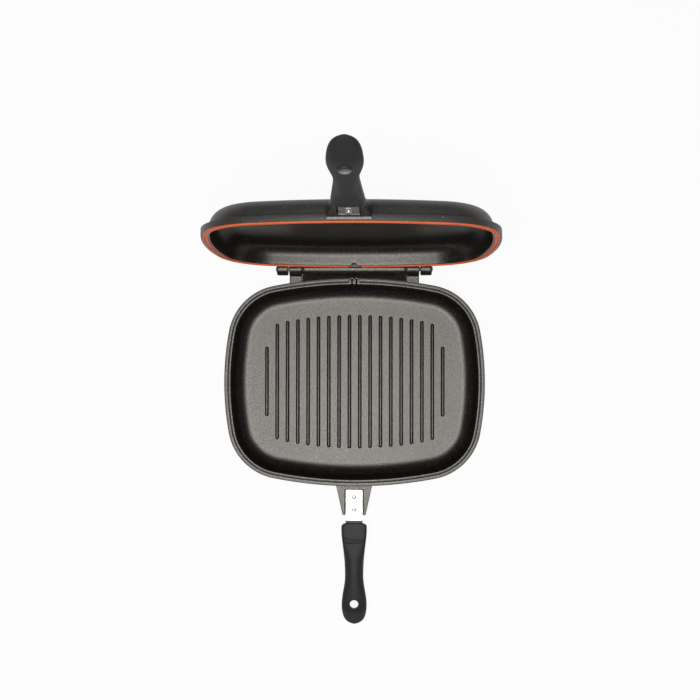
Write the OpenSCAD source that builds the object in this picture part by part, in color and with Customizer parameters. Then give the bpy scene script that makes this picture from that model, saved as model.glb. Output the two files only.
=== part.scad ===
// Double sided flip pan: two cast halves on a rear hinge, each with its own long grip.
// Millimetres. X to the right, Y towards the hinge, Z up. Z 0 is the flat underside of the base half.
// The lid is built closed and then turned back to its open stop.

/* [Pan outline] */
// Outer width of the rim
pan_width = 320; // [280:1:360]
// Outer length of the rim, grip side to hinge side
pan_length = 255.5; // [220:0.1:290]
// Radius of the front and rear sides
front_radius = 519.985; // [400:0.005:700]
// Radius of the left and right sides
side_radius = 347.51; // [280:0.01:450]
// Radius of the four corners
corner_radius = 69.7; // [62:0.1:80]

/* [Base half] */
// Height from underside to rim
base_depth = 34; // [30:0.5:40]
// Thickness of the floor
base_floor = 3.4; // [2.6:0.1:4.4]
// Width of the rim land across
rim_width = 7.7; // [7:0.1:8.6]
// Height of the rim flange
rim_height = 6.7; // [6.2:0.1:8]
// Width of the drip groove
groove_width = 1.6; // [1.2:0.1:1.8]
// Depth of the drip groove
groove_depth = 1.3; // [0.8:0.1:1.8]
// Slope of the walls from upright
wall_draft = 7.4; // [5:0.1:10]
// Inside radius between wall and floor
inner_fillet = 16.4; // [14:0.1:18]
// Outside radius between wall and floor
outer_fillet = 19.4; // [17:0.1:21]

/* [Grill ribs] */
// Number of raised ribs on each side of the middle
rib_pairs = 9; // [6:1:9]
// Distance from rib to rib
rib_pitch = 13; // [11:0.1:13.4]
// Width of a rib at its foot
rib_foot = 4.2; // [3.4:0.1:5]
// Height of a rib
rib_height = 2.8; // [1.8:0.1:3.4]
// Distance of the rib ends from the rim edge
rib_margin = 44; // [40:0.5:52]
// How much shorter the outermost ribs are at each end
rib_trim = 13.3; // [0:0.1:20]

/* [Lid half] */
// Outside height of the lid half
lid_depth = 27.1; // [25:0.1:32]
// Inside height of the lid half
lid_inside = 24; // [21:0.1:25]
// How far the lid wall stands in from the flange edge
lid_step = 7.9; // [7:0.1:9]
// Where the inside of the lid begins, from the flange edge
lid_inner_edge = 10.5; // [10:0.1:11.5]
// Gap between the two rims when shut
rim_gap = 1.2; // [0.8:0.1:2]

/* [Seal] */
// Where the seal channel begins, from the flange edge
seal_start = 2; // [1.6:0.1:2.6]
// Width of the seal channel
seal_width = 7.3; // [6.6:0.1:7.6]
// Depth of the seal channel
seal_depth = 2; // [1.6:0.1:2.6]
// How far the lips stand out of the lid rim
seal_lip = 1; // [0.3:0.1:1.1]
// Half width of the vent gap in the seal
seal_gap = 6.3; // [5:0.1:8]
// Width of the vent arch in the lid rim
vent_width = 7.2; // [5:0.1:8]
// Distance of the two steam slots in the base rim
slot_pitch = 6.1; // [4:0.1:8]
// Width of one steam slot
slot_width = 1.6; // [1:0.1:2.2]
// Depth of the steam slots
slot_depth = 4.5; // [1.2:0.1:5]

/* [Hinge] */
// Distance of the hinge axis behind the rim edge
hinge_back = 10.9; // [10.4:0.1:12]
// Radius of the hinge barrels
barrel_radius = 8; // [7:0.1:8.2]
// Radius of the hinge pins
pin_radius = 2.5; // [2:0.1:3]
// Running clearance round the pins in the base ears
pin_play = 0.06; // [0.03:0.01:0.09]
// Half length of the middle bar of the lid
bar_half = 62; // [58:0.5:62]
// Inner side of the base ears
ear_inner = 64; // [63.5:0.1:66]
// Outer side of the base ears
ear_outer = 79.7; // [76:0.1:80]
// Inner side of the outer lid barrels
knuckle_inner = 81; // [80.6:0.1:83]
// Outer side of the outer lid barrels
knuckle_outer = 95; // [92:0.1:96]
// Opening of the lid at its stop, in degrees
open_angle = 94.45; // [90:0.05:97]

/* [Bracket] */
// Half width of the bracket at the rim
bracket_root = 22; // [19:0.1:26]
// Half width of the bracket at its end
bracket_tip = 14.2; // [13.5:0.1:17]
// Length of the bracket outside the rim
bracket_length = 35.8; // [33:0.1:38]
// Height of the bracket
bracket_height = 11.5; // [9.5:0.1:13]
// Distance of the bracket face from the hinge plane
bracket_drop = 4.5; // [3.8:0.1:5.2]
// Half width of the plate in the bracket
plate_half = 10.2; // [9:0.1:11]
// Distance of the first rivet from the rim edge
rivet_first = 13.9; // [11:0.1:16]
// Distance between the two rivets
rivet_pitch = 15.2; // [12:0.1:16]

/* [Grip] */
// Where the grip begins, from the rim edge
grip_start = 45.8; // [45:0.1:48]
// Width of the grip behind its shoulder
grip_root_width = 31.3; // [27:0.1:36]
// Width of the grip at its waist
grip_waist_width = 22.6; // [20:0.1:27]
// Width of the grip at its bulb
grip_bulb_width = 31; // [27:0.1:36]
// Thickness of the grip at its root
grip_root_thick = 18; // [16.5:0.1:20]
// Thickness of the grip at its bulb
grip_bulb_thick = 12; // [10:0.1:14]
// Radius of the hanging hole
hang_radius = 5.2; // [4:0.05:6.5]

/* [Hidden] */
half_w = pan_width / 2;
half_l = pan_length / 2;
axis_z = base_depth + rim_gap / 2;
axis_y = half_l + hinge_back;
rim_z = -rim_gap / 2;
// centres of the outline arcs
front_cy = half_l - front_radius;
side_cx = half_w - side_radius;
reach_f = front_radius - corner_radius;
reach_s = side_radius - corner_radius;
span_fs = norm([side_cx, front_cy]);
along_fs = (reach_f * reach_f - reach_s * reach_s + span_fs * span_fs) / (2 * span_fs);
across_fs = sqrt(reach_f * reach_f - along_fs * along_fs);
dir_x = side_cx / span_fs;
dir_y = -front_cy / span_fs;
corner_cx = dir_x * along_fs + dir_y * across_fs;
corner_cy = front_cy + dir_y * along_fs - dir_x * across_fs;
front_angle = atan2(corner_cy - front_cy, corner_cx);
side_angle = atan2(corner_cy, corner_cx - side_cx);
fill_in = 36;
sweep_in = 38;
fine_front = 167;
fine_side = 138;
fine_corner = 60;
plate_face = bracket_drop + 1.5;
plate_thick = 2.5;
plate_back = plate_face + plate_thick;
plate_end = grip_start - 3.2;
tongue_half = 6.5;
tongue_end = 97;
screw_at = 88;
magnet_at = 68;
magnet_radius = 6;
magnet_thick = 2.4;
// curve of the grip's mating face: distance out from the rim, distance off the hinge plane
face_lift = 2.2;
bend_start = 62;
hole_at = 146;
bend_end = 160;
grip_end = 174.4;
bend_one = 608;
bend_two = 28;
lean_hole = asin((hole_at - bend_start) / bend_one);
lift_hole = face_lift + bend_one * (1 - cos(lean_hole));
lean_tip = asin(sin(lean_hole) + (bend_end - hole_at) / bend_two);
lift_tip = lift_hole + bend_two * (cos(lean_hole) - cos(lean_tip));
waist_at = 112;
bulb_at = 150;
tip_thick = 6.5;
hole_chamfer = 2;
hole_land = 2.5;
hole_flare = 22;
ridge_radius = 19;
ridge_at = [65.5, 69];
stations = 25;
ring = 20;

// reach of the bar's lobe about the hinge axis
swing = norm([axis_y - rim_y(bar_half), rim_height + 0.1]);

// ---- outline helpers ----
function rim_y(x) = front_cy + sqrt(front_radius * front_radius - x * x);
// half length of the outline moved in by m, at distance x from the middle
function inset_y(x, m) =
  let (fx = (front_radius - m) * cos(front_angle))
  x <= fx ? front_cy + sqrt(pow(front_radius - m, 2) - x * x)
  : corner_cy + sqrt(max(0, pow(corner_radius - m, 2) - pow(x - corner_cx, 2)));

// sweeps a profile (x = minus distance in from the rim edge, y = height) round the outline:
// each arc is a full turn about its own centre, cut to its share by a wedge
module arc_share(cx, cy, r, fine, wedge) {
  intersection() {
    translate([cx, cy, 0]) rotate_extrude($fn = fine) translate([r, 0]) children();
    translate([0, 0, -60]) linear_extrude(height = 140) polygon(wedge);
  }
}
module sweep_outline() {
  c = [corner_cx, corner_cy];
  p = [1.2 * corner_cx, corner_cy + 0.2 * (corner_cy - front_cy)];
  q = [corner_cx + 0.4 * (corner_cx - side_cx), 1.4 * corner_cy];
  for (s = [0, 180]) rotate([0, 0, s]) {
    arc_share(0, front_cy, front_radius, fine_front, [[0, front_cy], c, p, [-p[0], p[1]], [-c[0], c[1]]]) children();
    arc_share(side_cx, 0, side_radius, fine_side, [[side_cx, 0], [c[0], -c[1]], [q[0], -q[1]], q, c]) children();
    arc_share(c[0], c[1], corner_radius, fine_corner, [c, q, p + q - c, p]) children();
    mirror([1, 0, 0]) arc_share(c[0], c[1], corner_radius, fine_corner, [c, q, p + q - c, p]) children();
  }
}

// flat plate that closes the middle of a swept shell
module fill_plate(thick) {
  intersection() {
    translate([0, front_cy, 0]) cylinder(r = front_radius - fill_in, h = thick, $fn = fine_front);
    translate([0, -front_cy, 0]) cylinder(r = front_radius - fill_in, h = thick, $fn = fine_front);
    translate([side_cx, 0, 0]) cylinder(r = side_radius - fill_in, h = thick, $fn = fine_side);
    translate([-side_cx, 0, 0]) cylinder(r = side_radius - fill_in, h = thick, $fn = fine_side);
  }
}

// points of a wall-to-floor fillet: w = wall distance at the rim height, top = rim height, r, f = floor height
function fillet(w, top, f, r, n) =
  let (c = w + (top - f - r) * tan(wall_draft) + r / cos(wall_draft))
  [for (i = [0 : n]) let (t = wall_draft + (90 - wall_draft) * i / n) [-(c - r * cos(t)), f + r - r * sin(t)]];
function backward(v) = [for (i = [len(v) - 1 : -1 : 0]) v[i]];

module base_profile() {
  polygon(concat(
    [[0, base_depth - 0.7], [-0.7, base_depth], [-4, base_depth], [-4, base_depth - groove_depth],
     [-4 - groove_width, base_depth - groove_depth], [-4 - groove_width, base_depth],
     [0.4 - rim_width, base_depth], [-rim_width, base_depth - 0.4]],
    fillet(rim_width, base_depth, base_floor, inner_fillet, 7),
    [[-sweep_in, base_floor], [-sweep_in, 0]],
    backward(fillet(rim_width - 3, base_depth, 0, outer_fillet, 7)),
    [[3 - rim_width, base_depth - rim_height], [-0.3, base_depth - rim_height], [0, base_depth - rim_height + 0.3]]));
}

// lid profile, closed, heights from the lid rim plane
module lid_profile() {
  polygon(concat(
    [[0, 0.4], [-0.4, 0], [-seal_start, 0], [-seal_start, seal_depth], [-seal_start - seal_width, seal_depth],
     [-seal_start - seal_width, 0.2], [-lid_inner_edge + 0.3, 0.2], [-lid_inner_edge, 0.6]],
    [for (p = fillet(lid_inner_edge, lid_inside, 0, inner_fillet, 7)) [p[0], lid_inside - p[1]]],
    [[-sweep_in, lid_inside], [-sweep_in, lid_depth]],
    backward([for (p = fillet(lid_step, lid_depth - rim_height, 0, outer_fillet, 7)) [p[0], lid_depth - p[1]]]),
    [[-lid_step, rim_height], [-0.5, rim_height], [0, rim_height - 0.5]]));
}

// ---- placing ----
module from_axis() translate([0, 0, axis_z]) children();
module opened() translate([0, axis_y, axis_z]) rotate([-open_angle, 0, 0]) translate([0, -axis_y, 0]) children();
module lid_side() opened() rotate([0, 180, 0]) children();
module both() for (s = [-1, 1]) children_at(s) children();
module children_at(s) { if (s > 0) children(); else mirror([1, 0, 0]) children(); }

// ---- base half ----
module rib(hl) {
  p = rib_foot / 2;
  rotate([90, 0, 0]) linear_extrude(height = 2 * hl, center = true)
    polygon([[-p, -0.4], [-p, 0.2], [-p * 0.72, rib_height * 0.72], [-p * 0.4, rib_height],
      [p * 0.4, rib_height], [p * 0.72, rib_height * 0.72], [p, 0.2], [p, -0.4]]);
  for (s = [0, 180]) rotate([0, 0, s]) translate([0, hl, 0]) rotate_extrude(angle = 180, $fn = 16)
    polygon([[0, -0.4], [p, -0.4], [p, 0.2], [p * 0.72, rib_height * 0.72], [p * 0.4, rib_height], [0, rib_height]]);
}

module ear_arm(x0, x1, z0, z1, back) {
  translate([0, 0, z0]) linear_extrude(height = z1 - z0)
    polygon([[x0, rim_y(x0) - back], [x1, rim_y(x1) - back], [x1, axis_y], [x0, axis_y]]);
}

module barrel(x0, x1) translate([x0, axis_y, 0]) rotate([0, 90, 0])
  cylinder(r = barrel_radius, h = x1 - x0, $fn = 40);
module pin_bore(x0, x1, r) translate([x0, axis_y, 0]) rotate([0, 90, 0]) cylinder(r = r, h = x1 - x0, $fn = 24);

// plate across the hinge, from x0 to x1, with the outline (y, height)
module across(x0, x1) translate([x0, 0, 0]) rotate([90, 0, 90]) linear_extrude(height = x1 - x0) children();

module base_ear() {
  wall = [[half_l - 17.9, -28], [half_l - 13.9, -20], [half_l - 13.2, -swing - 1.5]];
  from_axis() difference() {
    union() {
      barrel(ear_inner, ear_outer);
      ear_arm(ear_inner, ear_outer, 1 - barrel_radius, rim_z, 1.5);
      // fillet between the arm and the barrel
      across(ear_inner, ear_outer) polygon([[axis_y - 10.4, rim_z], [axis_y - 9, rim_z + 0.2], [axis_y - 8.1, rim_z + 0.9],
        [axis_y - 7.6, rim_z + 2], [axis_y - 5, rim_z + 2], [axis_y - 5, rim_z - 2], [axis_y - 10.4, rim_z - 2]]);
      // gusset down the wall
      across(ear_inner, ear_outer) polygon(concat(wall, [[half_l - 12.6, -14], [half_l - 12.4, 0.5 - barrel_radius],
        [axis_y, 0.5 - barrel_radius], [axis_y - 2, -barrel_radius - 2.5]]));
      // foot under the end of the bar, below its swing
      across(ear_inner - 3.6, ear_inner + 0.1)
        polygon(concat(wall, [[axis_y - 4, -swing - 1.5], [axis_y - 9, -swing - 6]]));
    }
    pin_bore(ear_inner - 1, ear_outer + 1, pin_radius + pin_play);
  }
}

// cast bracket: heights are minus the distance off the hinge plane
module bracket_form(root_in) {
  difference() {
    translate([0, 0, -bracket_drop - bracket_height]) linear_extrude(height = bracket_height)
      polygon([[-bracket_root, -half_l + root_in], [-bracket_root, -half_l], [-bracket_tip, -half_l - bracket_length],
        [bracket_tip, -half_l - bracket_length], [bracket_root, -half_l], [bracket_root, -half_l + root_in]]);
    translate([-plate_half - 1.2, -half_l - bracket_length - 1, -plate_back])
      cube([2 * plate_half + 2.4, bracket_length - 3.6, plate_thick + 3]);
    for (i = [0, 1]) translate([0, -half_l - rivet_first - i * rivet_pitch, -bracket_drop - bracket_height - 1])
      cylinder(r = 2, h = bracket_height + 2, $fn = 20);
  }
}

module base_pan() color([0.22, 0.22, 0.21]) {
  difference() {
    union() {
      sweep_outline() base_profile();
      fill_plate(base_floor);
      both() for (i = [0 : rib_pairs - 1]) let (x = (i + 0.5) * rib_pitch)
        translate([x, 0, base_floor])
          rib(inset_y(x, rib_margin) - rib_foot / 2 - (i == rib_pairs - 1 ? rib_trim : 0));
      translate([-6.4, half_l - 6.2, base_depth - groove_depth - 0.5]) cube([12.8, 2.8, groove_depth + 0.5]);
      both() base_ear();
      from_axis() bracket_form(7.2);
    }
    for (s = [-1, 1]) translate([s * slot_pitch / 2 - slot_width / 2, half_l - rim_width - 2, base_depth - slot_depth])
      cube([slot_width, rim_width + 4, slot_depth + 2]);
  }
}

// ---- parts shared by both handles, at the base side of the hinge plane ----
module tang_form() {
  difference() {
    union() {
      translate([-plate_half, -half_l - plate_end, -plate_back]) cube([2 * plate_half, plate_end - 5, plate_thick]);
      translate([-tongue_half, -half_l - tongue_end, -plate_back])
        cube([2 * tongue_half, tongue_end - plate_end + 1, plate_thick]);
    }
    for (i = [0, 1]) translate([0, -half_l - rivet_first - i * rivet_pitch, -plate_back - 1])
      cylinder(r = 2, h = plate_thick + 2, $fn = 20);
    translate([0, -half_l - screw_at, -plate_back - 1]) cylinder(r = 1.6, h = plate_thick + 2, $fn = 20);
  }
}

module rivets_form() {
  for (i = [0, 1]) translate([0, -half_l - rivet_first - i * rivet_pitch, 0]) rotate_extrude($fn = 20)
    polygon([[0, 1.3 - plate_face], [0.9, 1.2 - plate_face], [1.8, 0.9 - plate_face], [2.5, 0.45 - plate_face],
      [2.9, -plate_face], [2, -plate_face], [2, -bracket_drop - bracket_height],
      [3.6, -bracket_drop - bracket_height], [3.1, -bracket_drop - bracket_height - 0.7],
      [2, -bracket_drop - bracket_height - 1.1], [0, -bracket_drop - bracket_height - 1.2]]);
}

module ferrule_form() {
  difference() {
    translate([-plate_half - 0.1, -half_l - grip_start, -plate_back - 1.6])
      cube([2 * plate_half + 0.2, grip_start - plate_end, plate_thick + 3]);
    translate([-tongue_half - 0.02, -half_l - grip_start - 1, -plate_back - 0.02])
      cube([2 * tongue_half + 0.04, grip_start - plate_end + 2, plate_thick + 0.04]);
  }
}

// grip: rings of points along the curve of the mating face
function lean_at(d) = d <= bend_start ? 0 : d <= hole_at ? asin((d - bend_start) / bend_one)
  : d <= bend_end ? asin(sin(lean_hole) + (d - hole_at) / bend_two) : lean_tip;
function lift_at(d) = d <= bend_start ? face_lift
  : d <= hole_at ? face_lift + bend_one * (1 - cos(lean_at(d)))
  : d <= bend_end ? lift_hole + bend_two * (cos(lean_hole) - cos(lean_at(d)))
  : lift_tip + (d - bend_end) * tan(lean_tip);
function ease(t) = (1 - cos(180 * t)) / 2;
// value that eases from a to b between the distances near and far
function blend(d, near, far, a, b) = a + (b - a) * ease(min(1, max(0, (d - near) / (far - near))));
function width_at(d) =
  let (shoulder = d < grip_start + 4 ? sqrt(max(0, 1 - pow(1 - (d - grip_start) / 4, 2))) : 1,
    body = d < waist_at
      ? grip_root_width + (grip_waist_width - grip_root_width) * ease(pow(max(0, d - 55) / (waist_at - 55), 0.74))
      : blend(d, waist_at, bulb_at, grip_waist_width, grip_bulb_width),
    u = max(0, (d - bulb_at) / (grip_end - bulb_at)))
  max(3, (body - 9) * shoulder + 9) * (d < bulb_at ? 1 : pow(max(0.012, 1 - pow(u, 2.8)), 1 / 2.8));
function thick_at(d) =
  let (u = max(0, (d - bulb_at) / (grip_end - bulb_at)), s = min(1, (d - grip_start) / 3.5))
  (d < bulb_at ? blend(d, grip_start, bulb_at, grip_root_thick, grip_bulb_thick)
  : grip_bulb_thick - (grip_bulb_thick - tip_thick) * u) - 3 * (1 - sqrt(1 - pow(1 - s, 2)));
function power(v, e) = v < 0 ? -pow(-v, e) : pow(v, e);
// point k of the ring at distance d: the mating side goes from flat at the root to round, the back the other way
function ring_point(d, k) =
  let (a = 360 * (k + 0.5) / ring, w = width_at(d) / 2, t = thick_at(d), q = t * blend(d, 62, 95, 0.42, 0.6),
    e = 2 / (sin(a) > 0 ? blend(d, 62, 95, 4.6, 2) : blend(d, 60, 105, 2.6, 5.5)),
    x = w * power(cos(a), e), h = sin(a) > 0 ? q - q * pow(sin(a), e) : q + (t - q) * pow(-sin(a), e), g = lean_at(d))
  [x, -half_l - d + h * sin(g), -lift_at(d) - h * cos(g)];
function station_d(i) = grip_start + (grip_end - grip_start) * ease(i / stations);

module grip_solid() {
  pts = [for (i = [0 : stations]) for (k = [0 : ring - 1]) ring_point(station_d(i), k)];
  mid = [for (i = [0, stations]) let (d = station_d(i), g = lean_at(d), h = thick_at(d) / 2)
    [0, -half_l - d + h * sin(g), -lift_at(d) - h * cos(g)]];
  n = len(pts);
  last = stations * ring;
  polyhedron(points = concat(pts, mid), convexity = 4, faces = concat(
    [for (i = [0 : stations - 1]) for (k = [0 : ring - 1])
      [i * ring + k, (i + 1) * ring + k, (i + 1) * ring + (k + 1) % ring]],
    [for (i = [0 : stations - 1]) for (k = [0 : ring - 1])
      [i * ring + k, (i + 1) * ring + (k + 1) % ring, i * ring + (k + 1) % ring]],
    [for (k = [0 : ring - 1]) [n, k, (k + 1) % ring]],
    [for (k = [0 : ring - 1]) [n + 1, last + (k + 1) % ring, last + k]]));
}

// hanging hole: a short land between a chamfer on the mating side and a wider flare on the back
module hang_hole() {
  low = -hole_chamfer - hole_land;
  translate([0, -half_l - hole_at, -lift_hole]) rotate([lean_hole, 0, 0]) rotate_extrude($fn = 32)
    polygon([[0, 2], [hang_radius + hole_chamfer + 2, 2], [hang_radius, -hole_chamfer], [hang_radius, low],
      [hang_radius + 12 * tan(hole_flare), low - 12], [0, low - 12]]);
}

// curved thumb ridge, highest at its middle, at distance d
module thumb_ridge(d) {
  translate([0, -half_l - d + ridge_radius, -face_lift]) rotate([0, 0, 238]) rotate_extrude(angle = 64, $fn = 60)
    translate([ridge_radius, 0]) polygon([[-0.9, -1], [-0.9, 0], [-0.3, 0.5], [0.3, 0.5], [0.9, 0], [0.9, -1]]);
}

module grip_form() {
  difference() {
    union() {
      grip_solid();
      for (d = ridge_at) thumb_ridge(d);
    }
    hang_hole();
    translate([-tongue_half - 0.05, -half_l - tongue_end - 0.5, -plate_back - 0.02])
      cube([2 * tongue_half + 0.1, tongue_end - grip_start + 2, plate_thick + 0.04]);
    translate([0, -half_l - magnet_at, -plate_face - 0.01]) cylinder(r = magnet_radius + 0.02, h = magnet_thick + 0.02, $fn = 28);
    translate([0, -half_l - screw_at, -15]) cylinder(r = 1.65, h = 10, $fn = 20);
    translate([0, -half_l - screw_at, -30]) cylinder(r = 3.6, h = 15, $fn = 24);
  }
}

module magnet_form() {
  translate([0, -half_l - magnet_at, -plate_face]) cylinder(r = magnet_radius, h = magnet_thick, $fn = 28);
}

module screw_form() {
  difference() {
    translate([0, -half_l - screw_at, 0]) rotate_extrude($fn = 20)
      polygon([[0, -5.4], [0.9, -5.4], [1.6, -6], [1.6, -15], [3.3, -15], [3.3, -16.2], [2.6, -17], [0, -17.3]]);
    translate([-0.45, -half_l - screw_at - 1.9, -18]) cube([0.9, 3.8, 2]);
    translate([-1.9, -half_l - screw_at - 0.45, -18]) cube([3.8, 0.9, 2]);
  }
}

module base_tang() color([0.8, 0.8, 0.8]) from_axis() tang_form();
module base_rivets() color([0.75, 0.75, 0.75]) from_axis() rivets_form();
module base_ferrule() color([0.16, 0.16, 0.16]) from_axis() ferrule_form();
module base_grip() color([0.12, 0.12, 0.12]) from_axis() grip_form();
module base_magnet() color([0.5, 0.5, 0.52]) from_axis() magnet_form();
module base_grip_screw() color([0.7, 0.7, 0.7]) from_axis() screw_form();

// ---- lid half ----
module lid_tang() color([0.8, 0.8, 0.8]) lid_side() tang_form();
module lid_rivets() color([0.75, 0.75, 0.75]) lid_side() rivets_form();
module lid_ferrule() color([0.16, 0.16, 0.16]) lid_side() ferrule_form();
module lid_grip() color([0.12, 0.12, 0.12]) lid_side() grip_form();
module lid_magnet() color([0.5, 0.5, 0.52]) lid_side() magnet_form();
module lid_grip_screw() color([0.7, 0.7, 0.7]) lid_side() screw_form();

sweep_bar = asin((bar_half - 1.3) / front_radius);
module bar_sweep() translate([0, front_cy, 0]) rotate([0, 0, 90 - sweep_bar])
  rotate_extrude(angle = 2 * sweep_bar, $fn = fine_front) translate([front_radius, 0]) children();

// outer barrel of the lid, tapered at its end
module lid_knuckle() {
  difference() {
    union() {
      barrel(knuckle_inner, knuckle_outer - 3.5);
      translate([knuckle_outer - 3.5, axis_y, 0]) rotate([0, 90, 0])
        cylinder(r1 = barrel_radius, r2 = barrel_radius - 2.2, h = 3.5, $fn = 40);
      ear_arm(knuckle_inner, knuckle_outer - 3, -rim_z, rim_height - rim_z, 1.5);
    }
    pin_bore(knuckle_inner - 1, knuckle_outer - 2, pin_radius);
    pin_bore(knuckle_outer - 2.5, knuckle_outer + 1, pin_radius + 0.9);
  }
}

module lid_pan() color([0.22, 0.22, 0.21]) {
  opened() {
    difference() {
      union() {
        translate([0, 0, -rim_z]) sweep_outline() lid_profile();
        translate([0, 0, -rim_z + lid_inside]) fill_plate(lid_depth - lid_inside);
        rotate([0, 180, 0]) bracket_form(9.5);
        // flat land at the root of the bracket
        translate([0, -half_l + 1.8, 0]) rotate([90, 0, 0]) linear_extrude(height = 2.8)
          polygon([[-bracket_root - 1, 1], [bracket_root + 1, 1], [bracket_root - 0.6, bracket_drop + 0.1],
            [0.6 - bracket_root, bracket_drop + 0.1]]);
      }
      translate([0, half_l - 13, -rim_z - 0.8]) rotate([-90, 0, 0]) cylinder(r = vent_width / 2, h = 9, $fn = 28);
    }
    both() lid_knuckle();
    difference() {
      union() {
        barrel(-bar_half, bar_half);
        bar_sweep() polygon([[-1.5, -rim_z], [10.4, -rim_z], [10.4, rim_height - rim_z], [-1.5, rim_height - rim_z]]);
        translate([0, axis_y, 0]) rotate([open_angle, 0, 0]) translate([0, -axis_y, 0]) bar_sweep()
          polygon([[0.1, rim_z - 0.4], [7.5, 4.4], [9, 4.4], [9, -6], [3, -6.8], [0.1, -6.8]]);
      }
      both() pin_bore(bar_half - 12, bar_half + 1, pin_radius);
    }
  }
}

module seal_profile() {
  a = -seal_start - 0.02;
  b = -seal_start - seal_width + 0.02;
  polygon([[a, seal_depth], [a, 0.3], [a - 0.5, 0.1], [a - 0.9, -seal_lip + 0.3], [a - 1.4, -seal_lip],
    [a - 2.1, -seal_lip], [a - 2.7, -seal_lip + 0.4], [a - 3, 0.3], [b + 3, 0.3], [b + 2.7, -seal_lip + 0.4],
    [b + 2.1, -seal_lip], [b + 1.4, -seal_lip], [b + 0.9, -seal_lip + 0.3], [b + 0.5, 0.1], [b, 0.3], [b, seal_depth]]);
}

// small core across the ends of the swept pieces, inside the seal, so that it is one ring
module seal_core() {
  m = seal_start + seal_width / 2;
  for (s = [0, 180]) rotate([0, 0, s]) {
    for (a = [front_angle, 180 - front_angle]) translate([0, front_cy, 0]) rotate([0, 0, a])
      translate([front_radius - m - 2.6, -2, 0.6]) cube([5.2, 4, seal_depth - 0.9]);
    for (a = [side_angle, -side_angle]) translate([side_cx, 0, 0]) rotate([0, 0, a])
      translate([side_radius - m - 2.6, -2, 0.6]) cube([5.2, 4, seal_depth - 0.9]);
  }
}

module lid_seal() color([0.85, 0.35, 0.12]) opened() {
  difference() {
    translate([0, 0, -rim_z]) {
      sweep_outline() seal_profile();
      seal_core();
    }
    translate([-seal_gap, half_l - 14, -3]) cube([2 * seal_gap, 20, 8]);
  }
}

// ---- hinge ----
module pin_form() opened() translate([bar_half - 12, axis_y, 0]) rotate([0, 90, 0])
  cylinder(r = pin_radius, h = knuckle_outer - 2.5 - bar_half + 12, $fn = 24);
module spacer_form() opened() difference() {
  translate([bar_half, axis_y, 0]) rotate([0, 90, 0]) cylinder(r = 6.4, h = ear_inner - bar_half - 0.05, $fn = 28);
  pin_bore(bar_half - 1, ear_inner + 1, pin_radius);
}
module plug_form() opened() translate([knuckle_outer - 2.5, axis_y, 0]) rotate([0, 90, 0]) rotate_extrude($fn = 24)
  polygon([[0, 0], [pin_radius + 0.9, 0], [pin_radius + 0.9, 2.5], [2.9, 3.1], [2, 3.6], [0, 3.8]]);

module hinge_pin_right() color([0.7, 0.7, 0.72]) pin_form();
module hinge_pin_left() color([0.7, 0.7, 0.72]) mirror([1, 0, 0]) pin_form();
module hinge_spacer_right() color([0.08, 0.08, 0.08]) spacer_form();
module hinge_spacer_left() color([0.08, 0.08, 0.08]) mirror([1, 0, 0]) spacer_form();
module hinge_plug_right() color([0.3, 0.3, 0.3]) plug_form();
module hinge_plug_left() color([0.3, 0.3, 0.3]) mirror([1, 0, 0]) plug_form();

base_pan();
base_tang();
base_rivets();
base_ferrule();
base_grip();
base_magnet();
base_grip_screw();
lid_pan();
lid_seal();
lid_tang();
lid_rivets();
lid_ferrule();
lid_grip();
lid_magnet();
lid_grip_screw();
hinge_pin_left();
hinge_pin_right();
hinge_spacer_left();
hinge_spacer_right();
hinge_plug_left();
hinge_plug_right();
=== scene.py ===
"""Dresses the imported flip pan: two cast halves on a rear hinge, a seal, and two long grips.

Sizes in this file are in millimetres and are turned into metres where a mesh is made.
"""

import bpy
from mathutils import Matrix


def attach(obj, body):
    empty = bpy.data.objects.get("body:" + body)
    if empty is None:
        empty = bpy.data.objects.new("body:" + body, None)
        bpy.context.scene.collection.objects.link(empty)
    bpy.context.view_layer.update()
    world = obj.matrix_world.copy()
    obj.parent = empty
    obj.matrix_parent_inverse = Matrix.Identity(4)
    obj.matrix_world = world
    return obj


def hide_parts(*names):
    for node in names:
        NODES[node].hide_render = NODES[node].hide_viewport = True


bl_info = {
    "name": "Double sided flip pan",
    "version": (1, 0, 0),
    "blender": (4, 5, 0),
    "location": "View3D > Sidebar > Flip pan",
    "description": "Builds the castings, seal, grips and plates of a double sided flip pan",
    "category": "Add Mesh",
}

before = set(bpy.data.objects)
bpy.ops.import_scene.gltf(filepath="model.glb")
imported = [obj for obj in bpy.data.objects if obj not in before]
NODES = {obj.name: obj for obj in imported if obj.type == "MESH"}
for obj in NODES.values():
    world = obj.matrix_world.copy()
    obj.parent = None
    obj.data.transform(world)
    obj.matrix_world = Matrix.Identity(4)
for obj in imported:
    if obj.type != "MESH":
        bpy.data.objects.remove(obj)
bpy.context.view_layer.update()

import math

import bmesh
import bpy
from bpy.props import FloatProperty, FloatVectorProperty, PointerProperty
from mathutils import Matrix, Vector

MM = 0.001


def length(name, description, value):
    return FloatProperty(name=name, description=description + ", mm", default=value, min=0.0)


def degrees(name, description, value):
    return FloatProperty(name=name, description=description + ", degrees", default=value, min=0.0)


def colour(name, description, value):
    return FloatVectorProperty(name=name, description=description, default=value, size=3,
                               min=0.0, max=1.0, subtype="COLOR")


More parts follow.
